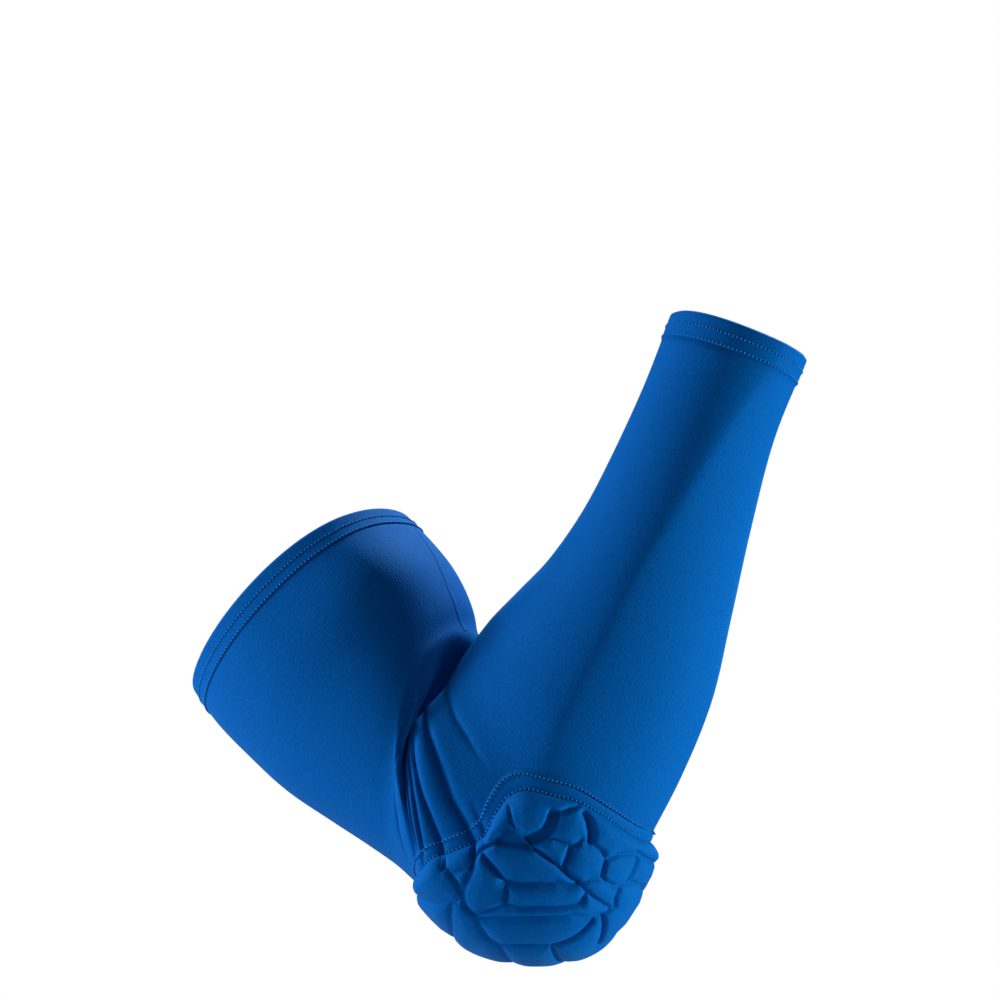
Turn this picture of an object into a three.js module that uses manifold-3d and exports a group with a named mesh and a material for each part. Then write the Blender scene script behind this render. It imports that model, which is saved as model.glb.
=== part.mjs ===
// Elbow pad: a knit arm sleeve with a moulded foam pad sewn over the elbow, as it lies on a bent arm.
// Millimetres. The origin is the elbow's centre, where the centre lines of the two limbs cross.
// +Z runs up the forearm to the wrist, the arm bends in the XZ plane, +X is the outer side of the forearm.
import * as THREE from 'three';
import { mergeVertices } from 'three/addons/utils/BufferGeometryUtils.js';
import Module from 'manifold-3d';

const wasm = await Module();
wasm.setup();

// Sizes of the worn arm
const BEND_ANGLE = 65;
const UPPER_LENGTH = 150;
const UPPER_HALF_WIDTH = 64;
const FOREARM_LENGTH = 236;
const FOREARM_HALF_WIDTH = 54;
const ELBOW_RADIUS = 40;
const HALF_DEPTH = 50;
const CREASE_LENGTH_OUT = 87;
const CREASE_LENGTH_IN = 46;
const CREASE_GAP = 3;
const BOW_LENGTH = 33;

// Sizes of the cloth and the pad
const CLOTH = 1.2;
const HEM_CLOTH = 2 * CLOTH;
const HEM_LIFT = 0.4;
const GAP = 0.4;
const FLANGE = 1.2;
const FOAM_BED = 4;
const CELL_HEIGHT = 8;
const CELL_BEVEL = 2;
const SEAM_WIDTH = 3;
const SEAM_THICKNESS = 0.8;
const FOLD_DEPTH = 5;

// Places along the sleeve: -1 at the upper hem, 0 in the bend, 1 at the wrist
const UPPER_HEM_SHARE = -0.9;
const WRIST_HEM_SHARE = 0.96;
// Share of the limb's length that one unit of place covers at its open end
const UPPER_LENGTH_PER_PLACE = 1;
const FOREARM_LENGTH_PER_PLACE = 1.125;
const AROUND = 32;

// Where the crease between the two limbs starts and ends, as shares of the bend angle
const CREASE_OUT_SHARE = 0.52;
const CREASE_IN_SHARE = 0.86;

// One row per section. inner and outer are [limb, share along it, share across it];
// depth is a share of HALF_DEPTH and bow a share of BOW_LENGTH, towards the limb's open end.
const SECTIONS = [
  { at: -1.00, inner: ['upper', 0.955, 0.885], outer: ['upper', 0.98, -0.97], depth: 1.00, bow: 0.30 },
  { at: -0.85, inner: ['upper', 0.855, 0.90], outer: ['upper', 0.865, -0.995], depth: 1.01, bow: 0.24 },
  { at: -0.70, inner: ['upper', 0.76, 0.895], outer: ['upper', 0.73, -0.975], depth: 1.01, bow: 0.15 },
  { at: -0.55, inner: ['upper', 0.68, 0.86], outer: ['upper', 0.575, -0.93], depth: 0.98, bow: 0.09 },
  { at: -0.40, inner: ['upper', 0.61, 0.80], outer: ['upper', 0.415, -0.83], depth: 0.96, bow: 0.15 },
  { at: -0.28, inner: ['upper', 0.56, 0.735], outer: ['upper', 0.28, -0.74], depth: 0.94, bow: 0.33 },
  { at: -0.20, inner: ['crease', 0.01, -1.4], outer: ['upper', 0.185, -0.685], depth: 0.92, bow: 0.60 },
  { at: -0.13, inner: ['crease', 0.30, -1], outer: ['upper', 0.12, -0.665], depth: 0.91, bow: 0.85 },
  { at: -0.07, inner: ['crease', 0.70, -1], outer: ['upper', 0.07, -0.645], depth: 0.90, bow: 0.97 },
  { at: 0.00, inner: ['crease', 1.05, 0], outer: ['tip', 0.05, 1.00], depth: 0.89, bow: 1.00 },
  { at: 0.06, inner: ['crease', 0.80, 1], outer: ['tip', 0.25, 1.02], depth: 0.89, bow: 1.00 },
  { at: 0.12, inner: ['crease', 0.50, 1], outer: ['tip', 0.50, 1.08], depth: 0.89, bow: 0.94 },
  { at: 0.18, inner: ['crease', 0.20, 1], outer: ['tip', 0.72, 1.20], depth: 0.89, bow: 0.82 },
  { at: 0.24, inner: ['crease', -0.02, 1.4], outer: ['tip', 0.90, 1.22], depth: 0.89, bow: 0.55 },
  { at: 0.32, inner: ['forearm', 0.345, 0.89], outer: ['forearm', 0.08, -0.925], depth: 0.89, bow: 0.24 },
  { at: 0.42, inner: ['forearm', 0.42, 0.76], outer: ['forearm', 0.22, -0.975], depth: 0.88, bow: 0.09 },
  { at: 0.53, inner: ['forearm', 0.495, 0.63], outer: ['forearm', 0.37, -0.965], depth: 0.84, bow: 0 },
  { at: 0.64, inner: ['forearm', 0.59, 0.54], outer: ['forearm', 0.52, -0.85], depth: 0.76, bow: 0 },
  { at: 0.76, inner: ['forearm', 0.705, 0.505], outer: ['forearm', 0.68, -0.72], depth: 0.66, bow: 0 },
  { at: 0.88, inner: ['forearm', 0.845, 0.50], outer: ['forearm', 0.85, -0.61], depth: 0.54, bow: 0 },
  { at: 1.00, inner: ['forearm', 0.985, 0.53], outer: ['forearm', 1.005, -0.60], depth: 0.48, bow: 0.12 },
];

// One row per fold: depth as a share of FOLD_DEPTH, width along the sleeve,
// and the places it passes as [angle round the sleeve, place along it].
const FOLDS = [
  {
    name: 'crease', depthShare: 0.8, widthShare: 0.020,
    path: [[62, 0.0], [78, 0.005], [104, -0.02], [135, -0.045]],
  },
  {
    name: 'near pleat', depthShare: 0.3, widthShare: 0.012,
    path: [[72, 0.05], [87, 0.052], [111, 0.064], [130, 0.055]],
  },
  {
    name: 'middle pleat', depthShare: 0.5, widthShare: 0.013,
    path: [[62, 0.09], [82, 0.105], [94, 0.108], [112, 0.12], [130, 0.105]],
  },
];

// Half of the pad's edge, from its upper arm end round the near side to its forearm end.
const PAD_CENTRE = { along: 0.15, angle: 180 };
const PAD_EDGE = [
  { along: -0.08, angle: 180 },
  { along: -0.068, angle: 155 },
  { along: -0.045, angle: 132 },
  { along: 0.015, angle: 113 },
  { along: 0.075, angle: 107 },
  { along: 0.135, angle: 103.5 },
  { along: 0.165, angle: 98.5 },
  { along: 0.20, angle: 95.5 },
  { along: 0.235, angle: 97 },
  { along: 0.265, angle: 103 },
  { along: 0.305, angle: 117 },
  { along: 0.325, angle: 131 },
  { along: 0.34, angle: 150 },
  { along: 0.352, angle: 180 },
];

// The pad's section from its centre (0) to its edge (1): thickness over the sleeve.
const PAD_SECTION = [
  { share: 0, thickness: FOAM_BED },
  { share: 0.18, thickness: FOAM_BED },
  { share: 0.36, thickness: FOAM_BED },
  { share: 0.54, thickness: FOAM_BED },
  { share: 0.70, thickness: FOAM_BED },
  { share: 0.84, thickness: FOAM_BED },
  { share: 0.89, thickness: FLANGE },
  { share: 1, thickness: FLANGE },
];

// The raised cells of the near side: share of CELL_HEIGHT, and [place along, angle] of each corner.
// The far side has the same.
const CELLS = [
  {
    name: 'leaf', share: 1.00,
    corners: [[0.20, 112], [0.21, 108], [0.25, 110.5], [0.275, 116], [0.24, 117], [0.21, 115]],
  },
  {
    name: 'wedge', share: 0.95,
    corners: [[0.15, 110], [0.16, 107], [0.19, 106], [0.19, 109], [0.155, 112.5]],
  },
  {
    name: 'top', share: 1.00,
    corners: [[0.25, 121], [0.27, 120], [0.295, 127], [0.285, 130], [0.27, 131], [0.24, 125]],
  },
  { name: 'right', share: 1.00, corners: [[0.275, 135], [0.30, 133], [0.31, 149], [0.29, 149]] },
  {
    name: 'small', share: 0.95,
    corners: [[0.21, 121], [0.23, 123], [0.24, 129], [0.22, 131], [0.205, 126]],
  },
  {
    name: 'middle', share: 0.95,
    corners: [[0.23, 136], [0.25, 133.5], [0.27, 137], [0.265, 145], [0.25, 146]],
  },
  {
    name: 'side', share: 0.95,
    corners: [[0.26, 149], [0.275, 146], [0.295, 152], [0.295, 161], [0.275, 158]],
  },
  {
    name: 'bar', share: 0.95,
    corners: [[0.14, 115], [0.18, 118], [0.21, 127], [0.205, 134], [0.155, 126]],
  },
  {
    name: 'second bar', share: 0.95,
    corners: [[0.14, 131], [0.16, 130], [0.21, 139], [0.215, 147], [0.14, 137]],
  },
  {
    name: 'third bar', share: 0.95,
    corners: [[0.095, 141], [0.14, 140], [0.20, 148], [0.20, 156], [0.11, 151]],
  },
  {
    name: 'hexagon', share: 1.00,
    corners: [[0.09, 129], [0.11, 121], [0.13, 117.5], [0.14, 127], [0.13, 134], [0.095, 136.5]],
  },
  { name: 'left', share: 0.85, corners: [[0.07, 119], [0.09, 114], [0.12, 114], [0.11, 121], [0.09, 126]] },
  {
    name: 'round', share: 0.95,
    corners: [[0.00, 132], [0.02, 122], [0.05, 118], [0.075, 122], [0.075, 128], [0.045, 134], [0.01, 136]],
  },
  {
    name: 'low left', share: 0.90,
    corners: [[0.00, 141], [0.04, 137], [0.065, 139], [0.065, 148], [0.045, 158], [0.00, 160]],
  },
  {
    name: 'low middle', share: 0.85,
    corners: [[0.075, 135], [0.09, 139], [0.10, 152], [0.085, 155], [0.072, 147]],
  },
];
// The cells that lie across the back of the elbow, once each.
const BACK_CELLS = [
  {
    name: 'back left', share: 0.85,
    corners: [[-0.03, 168], [0.04, 165], [0.06, 180], [0.04, 195], [-0.03, 192]],
  },
  {
    name: 'back middle', share: 0.95,
    corners: [[0.08, 165], [0.14, 161], [0.15, 180], [0.14, 199], [0.08, 195]],
  },
  {
    name: 'back right', share: 0.95,
    corners: [[0.165, 164], [0.205, 163], [0.215, 180], [0.205, 197], [0.165, 196]],
  },
  {
    name: 'back edge', share: 0.95,
    corners: [[0.235, 167], [0.265, 165], [0.275, 180], [0.265, 195], [0.235, 193]],
  },
  {
    name: 'top edge', share: 1.00,
    corners: [[0.29, 170], [0.315, 167], [0.325, 180], [0.315, 193], [0.29, 190]],
  },
];

// The flat seam down the inner side of the upper arm: [place along, angle].
const SEAM_PATH = [[-0.89, 7], [-0.767, 11], [-0.60, 16], [-0.49, 18], [-0.36, 17]];
const SEAM_STEPS = 12;

const radians = THREE.MathUtils.degToRad;
const bend = radians(BEND_ANGLE);
const UPPER_AXIS = new THREE.Vector2(-Math.sin(bend), Math.cos(bend));
const UPPER_ACROSS = new THREE.Vector2(Math.cos(bend), Math.sin(bend));
const FOREARM_AXIS = new THREE.Vector2(0, 1);

function bendPoint(share, reach) {
  return new THREE.Vector2(-Math.sin(share * bend), Math.cos(share * bend)).multiplyScalar(reach);
}

const CREASE_OUT = bendPoint(CREASE_OUT_SHARE, CREASE_LENGTH_OUT);
const CREASE_IN = bendPoint(CREASE_IN_SHARE, CREASE_LENGTH_IN);
const CREASE_AXIS = CREASE_IN.clone().sub(CREASE_OUT);
const CREASE_SIDE = new THREE.Vector2(-CREASE_AXIS.y, CREASE_AXIS.x).normalize();

// A point of the bend plane from its limb and the two shares of that limb's sizes.
function planePoint([limb, along, across]) {
  const point = new THREE.Vector2();
  if (limb === 'upper') {
    point.addScaledVector(UPPER_AXIS, along * UPPER_LENGTH);
    return point.addScaledVector(UPPER_ACROSS, across * UPPER_HALF_WIDTH);
  }
  if (limb === 'forearm') {
    return point.set(-across * FOREARM_HALF_WIDTH, along * FOREARM_LENGTH);
  }
  if (limb === 'tip') {
    const turn = (bend - Math.PI) * (1 - along);
    return point.set(Math.cos(turn), Math.sin(turn)).multiplyScalar(across * ELBOW_RADIUS);
  }
  point.copy(CREASE_OUT).addScaledVector(CREASE_AXIS, along);
  return point.addScaledVector(CREASE_SIDE, across * CREASE_GAP / 2);
}

// Rows of values joined by a smooth curve through each of them.
function smoothRows(places, rows) {
  const rises = rows.slice(1).map((row, k) => {
    const step = places[k + 1] - places[k];
    return row.map((v, c) => (v - rows[k][c]) / step);
  });
  const slopes = rows.map((row, k) => row.map((v, c) => {
    if (k === 0) return rises[0][c];
    if (k === rows.length - 1) return rises[k - 1][c];
    const before = places[k] - places[k - 1];
    const after = places[k + 1] - places[k];
    return (rises[k - 1][c] * after + rises[k][c] * before) / (before + after);
  }));
  return (place) => {
    let k = 0;
    while (k < places.length - 2 && place >= places[k + 1]) k += 1;
    const step = places[k + 1] - places[k];
    const t = (place - places[k]) / step;
    const start = 2 * t ** 3 - 3 * t ** 2 + 1;
    const leave = t ** 3 - 2 * t ** 2 + t;
    const arrive = t ** 3 - t ** 2;
    return rows[k].map((v, c) => start * v + leave * step * slopes[k][c]
      + (1 - start) * rows[k + 1][c] + arrive * step * slopes[k + 1][c]);
  };
}

const sectionAt = smoothRows(SECTIONS.map((s) => s.at), SECTIONS.map((s) => {
  const inner = planePoint(s.inner);
  const outer = planePoint(s.outer);
  const axis = s.outer[0] === 'forearm' ? FOREARM_AXIS : UPPER_AXIS;
  const bow = axis.clone().multiplyScalar(s.bow * BOW_LENGTH);
  return [inner.x, inner.y, outer.x, outer.y, s.depth * HALF_DEPTH, bow.x, bow.y];
}));

// How softly the bow starts at the inner line of the arm.
const BOW_EASE_SHARE = 0.03;

// The arm's skin at a place along it and an angle round it: 0 inner side, 90 near, 180 outer, 270 far.
function skin(along, angle) {
  const [ix, iz, ox, oz, depth, bx, bz] = sectionAt(along);
  const c = Math.cos(radians(angle));
  const s = Math.sin(radians(angle));
  const bow = (Math.sqrt(s * s + BOW_EASE_SHARE) - Math.sqrt(BOW_EASE_SHARE)) * (1 + c) / 2;
  const x = ix * (1 + c) / 2 + ox * (1 - c) / 2 + bx * bow;
  const z = iz * (1 + c) / 2 + oz * (1 - c) / 2 + bz * bow;
  return new THREE.Vector3(x, -depth * s, z);
}

const ALONG_SHARE_STEP = 0.002;
const AROUND_ANGLE_STEP = 0.5;
function skinNormal(along, angle) {
  const before = Math.max(along - ALONG_SHARE_STEP, -1);
  const after = Math.min(along + ALONG_SHARE_STEP, 1);
  const a = skin(after, angle).sub(skin(before, angle));
  const b = skin(along, angle + AROUND_ANGLE_STEP).sub(skin(along, angle - AROUND_ANGLE_STEP));
  return b.cross(a).normalize();
}

function pathAt(path, angle) {
  let k = 0;
  while (k < path.length - 2 && angle > path[k + 1][0]) k += 1;
  const [a0, p0] = path[k];
  const [a1, p1] = path[k + 1];
  return p0 + (p1 - p0) * THREE.MathUtils.clamp((angle - a0) / (a1 - a0), 0, 1);
}

// How far the folds draw the cloth in. They run alike on the near and the far side.
const FOLD_FADE_ANGLE = 20;
function foldDepth(along, angle) {
  const side = angle > 180 ? 360 - angle : angle;
  return FOLDS.reduce((sum, fold) => {
    const first = fold.path[0][0];
    const last = fold.path[fold.path.length - 1][0];
    const fade = THREE.MathUtils.smoothstep(side, first - FOLD_FADE_ANGLE / 2, first + FOLD_FADE_ANGLE / 2)
      * (1 - THREE.MathUtils.smoothstep(side, last - FOLD_FADE_ANGLE, last));
    const off = (along - pathAt(fold.path, side)) / fold.widthShare;
    return sum + fold.depthShare * FOLD_DEPTH * fade * Math.exp(-off * off);
  }, 0);
}

// A point of the cloth, lifted along the skin's normal.
function clothPoint(along, angle, lift) {
  const drop = foldDepth(along, angle);
  return skin(along, angle).addScaledVector(skinNormal(along, angle), lift - drop);
}

function padPoint(along, angle, lift) {
  return skin(along, angle).addScaledVector(skinNormal(along, angle), lift);
}

function geometryOf(points, triangles) {
  const geometry = new THREE.BufferGeometry();
  const flat = points.flatMap((p) => [p.x, p.y, p.z]);
  geometry.setAttribute('position', new THREE.Float32BufferAttribute(flat, 3));
  geometry.setIndex(triangles);
  return geometry;
}

// A closed ring of wall: rows of points outside, the same rows inside, joined at both open ends.
function wallRing(places, outerLift, innerLift) {
  const lifts = [outerLift, innerLift];
  const points = lifts.flatMap((lift) => places.flatMap((along) => Array.from(
    { length: AROUND },
    (_, j) => clothPoint(along, j * 360 / AROUND, lift),
  )));
  const at = (layer, i, j) => (layer * places.length + i) * AROUND + j % AROUND;
  const triangles = [];
  const quad = (a, b, c, d) => triangles.push(a, b, c, a, c, d);
  const last = places.length - 1;
  for (let j = 0; j < AROUND; j += 1) {
    for (let i = 0; i < last; i += 1) {
      quad(at(0, i, j), at(0, i, j + 1), at(0, i + 1, j + 1), at(0, i + 1, j));
      quad(at(1, i, j), at(1, i + 1, j), at(1, i + 1, j + 1), at(1, i, j + 1));
    }
    quad(at(0, 0, j), at(1, 0, j), at(1, 0, j + 1), at(0, 0, j + 1));
    quad(at(0, last, j), at(0, last, j + 1), at(1, last, j + 1), at(1, last, j));
  }
  return geometryOf(points, triangles);
}

// Even places from one value to another, ends included.
function spread(from, to, count) {
  return Array.from({ length: count + 1 }, (_, k) => from + (to - from) * k / count);
}

// Places of the sleeve's rows: close together in the folds of the bend, wide apart on the limbs.
const BICEPS_END_SHARE = -0.24;
const FOLDS_LEAD_SHARE = -0.2;
const FOLDS_FROM_SHARE = -0.13;
const FOLDS_TO_SHARE = 0.13;
const TIP_END_SHARE = 0.36;
const LIMB_ROWS = 7;
const FOLD_ROWS = 20;
const SLEEVE_PLACES = [
  ...spread(UPPER_HEM_SHARE, BICEPS_END_SHARE, LIMB_ROWS),
  ...spread(FOLDS_LEAD_SHARE, FOLDS_FROM_SHARE, 2).slice(0, -1),
  ...spread(FOLDS_FROM_SHARE, FOLDS_TO_SHARE, FOLD_ROWS),
  ...spread(FOLDS_TO_SHARE, TIP_END_SHARE, LIMB_ROWS).slice(1),
  ...spread(TIP_END_SHARE, WRIST_HEM_SHARE, LIMB_ROWS).slice(1),
];

// The pad's bed: a round grid between the pad's centre and its edge, with a top and an underside.
// The underside is let into the sleeve's skin, which then cuts it away with the gap.
const PAD_SINK = 0.6;
const PAD_AROUND = 36;
const edgeHalf = smoothRows(
  PAD_EDGE.map((row, k) => k / (PAD_EDGE.length - 1)),
  PAD_EDGE.map((row) => [row.along, row.angle]),
);
function padEdge(turn) {
  const half = turn <= 0.5 ? turn * 2 : 2 - turn * 2;
  const [along, angle] = edgeHalf(half);
  return [along, turn <= 0.5 ? angle : 360 - angle];
}

function padBed() {
  const points = [];
  const rings = PAD_SECTION.slice(1);
  const layers = [rings.map(() => -PAD_SINK), rings.map((ring) => GAP + ring.thickness)];
  layers.forEach((lifts) => {
    rings.forEach((ring, i) => {
      for (let j = 0; j < PAD_AROUND; j += 1) {
        const [along, angle] = padEdge(j / PAD_AROUND);
        const a = PAD_CENTRE.along + (along - PAD_CENTRE.along) * ring.share;
        const b = PAD_CENTRE.angle + (angle - PAD_CENTRE.angle) * ring.share;
        points.push(padPoint(a, b, lifts[i]));
      }
    });
  });
  const at = (layer, i, j) => (layer * rings.length + i) * PAD_AROUND + j % PAD_AROUND;
  const under = points.push(padPoint(PAD_CENTRE.along, PAD_CENTRE.angle, -PAD_SINK)) - 1;
  const over = points.push(padPoint(PAD_CENTRE.along, PAD_CENTRE.angle, GAP + FOAM_BED)) - 1;
  const triangles = [];
  const quad = (a, b, c, d) => triangles.push(a, b, c, a, c, d);
  const rim = rings.length - 1;
  for (let j = 0; j < PAD_AROUND; j += 1) {
    triangles.push(over, at(1, 0, j + 1), at(1, 0, j), under, at(0, 0, j), at(0, 0, j + 1));
    for (let i = 0; i < rim; i += 1) {
      quad(at(1, i, j), at(1, i, j + 1), at(1, i + 1, j + 1), at(1, i + 1, j));
      quad(at(0, i, j), at(0, i + 1, j), at(0, i + 1, j + 1), at(0, i, j + 1));
    }
    quad(at(0, rim, j), at(1, rim, j), at(1, rim, j + 1), at(0, rim, j + 1));
  }
  return geometryOf(points, triangles);
}

// A raised cell: its outline at the foot, at the shoulder and, drawn in, at the top.
function cellBlock(cell, mirrored) {
  const corners = cell.corners.map(([along, angle]) => [along, mirrored ? 360 - angle : angle]);
  if (!mirrored) corners.reverse();
  const count = corners.length;
  const middle = [0, 1].map((k) => corners.reduce((sum, corner) => sum + corner[k], 0) / count);
  const top = GAP + cell.share * CELL_HEIGHT;
  const levels = [
    { share: 1, lift: GAP + FOAM_BED / 2 },
    { share: 0.98, lift: top - CELL_BEVEL },
    { share: 0.84, lift: top },
  ];
  const points = levels.flatMap(({ share, lift }) => corners.map(([along, angle]) => padPoint(
    middle[0] + (along - middle[0]) * share,
    middle[1] + (angle - middle[1]) * share,
    lift,
  )));
  const foot = points.push(padPoint(middle[0], middle[1], levels[0].lift)) - 1;
  const crown = points.push(padPoint(middle[0], middle[1], top)) - 1;
  const triangles = [];
  for (let j = 0; j < count; j += 1) {
    const n = (j + 1) % count;
    for (let i = 0; i < levels.length - 1; i += 1) {
      const a = i * count + j;
      const b = i * count + n;
      triangles.push(a, b, b + count, a, b + count, a + count);
    }
    triangles.push(foot, n, j, crown, 2 * count + j, 2 * count + n);
  }
  return geometryOf(points, triangles);
}

// A narrow strip lying on the cloth along a path.
function seamStrip() {
  const places = spread(SEAM_PATH[0][0], SEAM_PATH[SEAM_PATH.length - 1][0], SEAM_STEPS);
  const points = places.flatMap((along) => {
    const angle = pathAt(SEAM_PATH, along);
    const wide = skin(along, angle + 1).distanceTo(skin(along, angle - 1)) / 2;
    const half = SEAM_WIDTH / 2 / wide;
    return [[-half, GAP], [half, GAP], [half, GAP + SEAM_THICKNESS], [-half, GAP + SEAM_THICKNESS]]
      .map(([off, lift]) => clothPoint(along, angle + off, lift));
  });
  const triangles = [];
  const quad = (a, b, c, d) => triangles.push(a, b, c, a, c, d);
  for (let i = 0; i < places.length - 1; i += 1) {
    for (let k = 0; k < 4; k += 1) {
      const a = i * 4 + k;
      const b = i * 4 + (k + 1) % 4;
      quad(a, a + 4, b + 4, b);
    }
  }
  const end = (places.length - 1) * 4;
  quad(0, 1, 2, 3);
  quad(end + 3, end + 2, end + 1, end);
  return geometryOf(points, triangles);
}

function solidOf(geometry) {
  const merged = mergeVertices(geometry, 1e-5);
  const solid = new wasm.Manifold(new wasm.Mesh({
    numProp: 3,
    vertProperties: Float32Array.from(merged.attributes.position.array),
    triVerts: Uint32Array.from(merged.index.array),
  }));
  if (solid.volume() < 0) throw new Error('faces turned in');
  return solid;
}

function geometryFrom(solid) {
  const mesh = solid.getMesh();
  const geometry = new THREE.BufferGeometry();
  geometry.setAttribute('position', new THREE.BufferAttribute(Float32Array.from(mesh.vertProperties), 3));
  geometry.setIndex(new THREE.BufferAttribute(Uint32Array.from(mesh.triVerts), 1));
  geometry.computeVertexNormals();
  return geometry;
}

const KNIT_BLUE = '#0153a5';
const PAD_BLUE = '#0754a2';
const SEAM_BLUE = '#0a4a94';

function piece(name, solid, color, roughness) {
  const material = new THREE.MeshStandardMaterial({
    name: `${name}_fabric`, color, roughness, metalness: 0,
  });
  const mesh = new THREE.Mesh(geometryFrom(solid), material);
  mesh.name = name;
  return mesh;
}

const allCells = [
  ...CELLS.map((cell) => cellBlock(cell, false)),
  ...CELLS.map((cell) => cellBlock(cell, true)),
  ...BACK_CELLS.map((cell) => cellBlock(cell, false)),
];
const clearance = solidOf(wallRing(SLEEVE_PLACES, GAP, -CLOTH));
const bed = solidOf(padBed()).subtract(clearance);
const padBodies = allCells.reduce((body, cell) => body.add(solidOf(cell)), bed).decompose();
const pad = padBodies.reduce((largest, body) => (body.volume() > largest.volume() ? body : largest));

// The hems are the cloth folded double; a hem stands clear of the sleeve's end by the gap,
// which is turned here into a share of the place along the sleeve.
const UPPER_GAP = GAP / (UPPER_LENGTH * UPPER_LENGTH_PER_PLACE);
const WRIST_GAP = GAP / (FOREARM_LENGTH * FOREARM_LENGTH_PER_PLACE);
const upperHemPlaces = spread(-1, UPPER_HEM_SHARE - UPPER_GAP, 2);
const wristHemPlaces = spread(WRIST_HEM_SHARE + WRIST_GAP, 1, 2);

const elbowPad = new THREE.Group();
elbowPad.name = 'elbow_pad_sleeve';
elbowPad.add(
  piece('sleeve', solidOf(wallRing(SLEEVE_PLACES, 0, -CLOTH)), KNIT_BLUE, 0.85),
  piece('elbow_pad', pad, PAD_BLUE, 0.8),
  piece('upper_hem', solidOf(wallRing(upperHemPlaces, HEM_LIFT, HEM_LIFT - HEM_CLOTH)), KNIT_BLUE, 0.85),
  piece('wrist_hem', solidOf(wallRing(wristHemPlaces, HEM_LIFT, HEM_LIFT - HEM_CLOTH)), KNIT_BLUE, 0.85),
  piece('arm_seam', solidOf(seamStrip()), SEAM_BLUE, 0.85),
);

export default elbowPad;
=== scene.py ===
import math

import bpy
import numpy as np
from mathutils import Matrix


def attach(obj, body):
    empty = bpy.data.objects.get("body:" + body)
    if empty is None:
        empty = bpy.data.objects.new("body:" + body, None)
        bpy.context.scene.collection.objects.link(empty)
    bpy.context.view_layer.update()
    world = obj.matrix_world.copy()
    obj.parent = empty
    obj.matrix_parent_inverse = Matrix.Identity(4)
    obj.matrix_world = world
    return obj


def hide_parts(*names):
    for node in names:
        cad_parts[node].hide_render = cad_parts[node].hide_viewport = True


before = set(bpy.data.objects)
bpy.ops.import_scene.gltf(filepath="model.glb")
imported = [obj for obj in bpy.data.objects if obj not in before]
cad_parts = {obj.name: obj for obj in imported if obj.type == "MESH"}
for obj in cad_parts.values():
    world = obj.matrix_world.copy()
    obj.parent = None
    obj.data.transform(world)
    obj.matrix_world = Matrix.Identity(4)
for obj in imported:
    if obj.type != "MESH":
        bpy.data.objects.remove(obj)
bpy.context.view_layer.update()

# Sizes of the sleeve as worn: lengths in mm, the bend in degrees, turns as shares of the bend
MM = 0.001
BEND_ANGLE = 65.0
UPPER_LENGTH, UPPER_HALF_WIDTH = 150.0, 64.0
FOREARM_LENGTH, FOREARM_HALF_WIDTH = 236.0, 54.0
ELBOW_RADIUS, HALF_DEPTH = 40.0, 50.0
CREASE_LENGTH_OUT, CREASE_LENGTH_IN, CREASE_GAP = 87.0, 46.0, 3.0
CREASE_TURN_OUT, CREASE_TURN_IN = 0.52, 0.86
BOW_LENGTH, BOW_EASE = 33.0, 0.03
# short steps along the sleeve and round it, in degrees, that give the normals
ALONG_STEP, ANGLE_STEP = 0.002, 0.5
FLAT_WIDTH, FLAT_LENGTH = 300.0, 400.0

# The cloth, the hems folded from it, and the flat seam; SINK is how deep a piece on the cloth reaches into it
CLOTH, SINK = 1.2, 0.3
HEM_STEP, HEM_ROUND, HEM_FLAT_SHARE = 0.3, 1.1, 0.9
UPPER_HEM_LINE, WRIST_HEM_LINE = -0.9, 0.96
SEAM_HALF_WIDTH, SEAM_LIFT, SEAM_RISE = 1.5, 0.02, 0.16
# the knit's wales, drawn coarser than real ones, which are too fine to show
WALE = 1.1
# cells of the yarn's fuzz in a metre, about 0.9 mm each, coarser than real so that they show
FUZZ_PER_METRE = 1100.0

# A row's stitch spacing, and the length, radius and rise over the cloth of a stitch and of a needle hole's
# dark bar of painted shade
STITCH_PITCH = 1.8
STITCH = (1.0, 0.34, 0.12)
HOLE = (0.8, 0.36, -0.12)

# The floor, under the elbow pad
FLOOR_HEIGHT, FLOOR_RADIUS, FLOOR_POINTS = -800.0, 3500.0, 96

BEND = math.radians(BEND_ANGLE)
UPPER_AXIS = np.array([-math.sin(BEND), math.cos(BEND)])
UPPER_ACROSS = np.array([math.cos(BEND), math.sin(BEND)])
FOREARM_AXIS = np.array([0.0, 1.0])

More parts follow.
